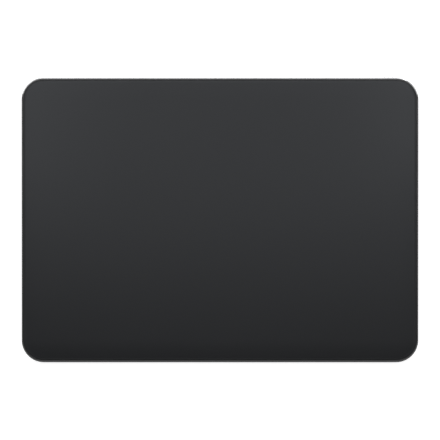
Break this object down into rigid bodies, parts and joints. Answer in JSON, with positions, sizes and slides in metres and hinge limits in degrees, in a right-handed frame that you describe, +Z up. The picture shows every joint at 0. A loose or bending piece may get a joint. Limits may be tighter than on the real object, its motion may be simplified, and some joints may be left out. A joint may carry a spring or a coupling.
{
  "type": "trackpad",
  "caption": "Wedge-shaped desk trackpad: dark metal housing, black glass touch plate floating on flexures with a haptic drive, charging port and power switch at the back.",
  "frame": {"origin": "on the desk plane under the middle of the body, at the underside of the feet", "axes": "+X to the user's right, +Y away from the user to the back wall, +Z up"},
  "size_m": [0.16, 0.1151, 0.0109],
  "materials": {
    "anodised_body": "satin",
    "touch_glass": "satin",
    "cover_plastic": "matte",
    "adhesive_film": "matte",
    "foot_rubber": "matte",
    "gel": "satin",
    "circuit_board": "satin",
    "chip": "matte",
    "steel": "satin",
    "core_steel": "satin",
    "screw_steel": "satin",
    "copper": "satin",
    "gold": "polished",
    "flat_cable": "satin",
    "battery_foil": "satin",
    "battery_tape": "matte",
    "connector_plastic": "matte",
    "black_plastic": "matte",
    "carriage_plastic": "matte",
    "indicator_green": "gloss"
  },
  "bodies": {
    "base": {"housing": "anodised_body", "bottom_cover": "cover_plastic", "cover_adhesive": "adhesive_film", "foot_front_left": "foot_rubber", "foot_front_right": "foot_rubber", "foot_rear_left": "foot_rubber", "foot_rear_right": "foot_rubber", "flexure_front_left": "steel", "flexure_front_right": "steel", "flexure_rear_left": "steel", "flexure_rear_right": "steel", "flexure_screws": "screw_steel", "strain_gauges": "flat_cable", "front_gauge_cables": "flat_cable", "rear_gauge_cables": "flat_cable", "haptic_bracket": "steel", "haptic_core": "core_steel", "haptic_coils": "copper", "haptic_screws": "screw_steel", "haptic_cable": "flat_cable", "battery_cell": "battery_foil", "battery_adhesive": "battery_tape", "battery_board": "circuit_board", "battery_cable": "flat_cable", "main_board": "circuit_board", "board_screws": "screw_steel", "shield_can": "steel", "board_chips": "chip", "board_connectors": "connector_plastic", "port_shell": "steel", "port_block": "black_plastic", "port_tongue": "black_plastic", "port_contacts": "gold", "switch_frame": "black_plastic", "switch_contact_block": "black_plastic", "switch_cable": "flat_cable", "switch_indicator": "indicator_green", "antenna_carrier": "black_plastic", "antenna_element": "copper", "antenna_lead": "black_plastic"},
    "isolators": {"gel_pads": "gel"},
    "touch_plate": {"touch_glass": "touch_glass", "glass_adhesive": "adhesive_film", "sensor_board": "circuit_board", "sensor_chips": "chip", "stiffener_frame": "steel", "drive_rail": "core_steel", "sensor_cable": "flat_cable"},
    "power_switch": {"switch_knob": "anodised_body", "switch_carriage": "carriage_plastic"}
  },
  "joints": [
    {"name": "plate_press", "type": "slide", "parent": "base", "child": "isolators", "axis": [0, 0.0521, -0.9986], "range_m": [0, 0.00025], "stiffness_N_per_m": 15000, "deforming": ["flexure_front_left", "flexure_front_right", "flexure_rear_left", "flexure_rear_right", "sensor_cable"]},
    {"name": "haptic_slide", "type": "slide", "parent": "isolators", "child": "touch_plate", "axis": [0, 0.9986, 0.0521], "range_m": [-0.0001, 0.0001], "stiffness_N_per_m": 20000},
    {"name": "power_slide", "type": "slide", "parent": "base", "child": "power_switch", "axis": [-1, 0, 0], "range_m": [0, 0.0026]}
  ]
}
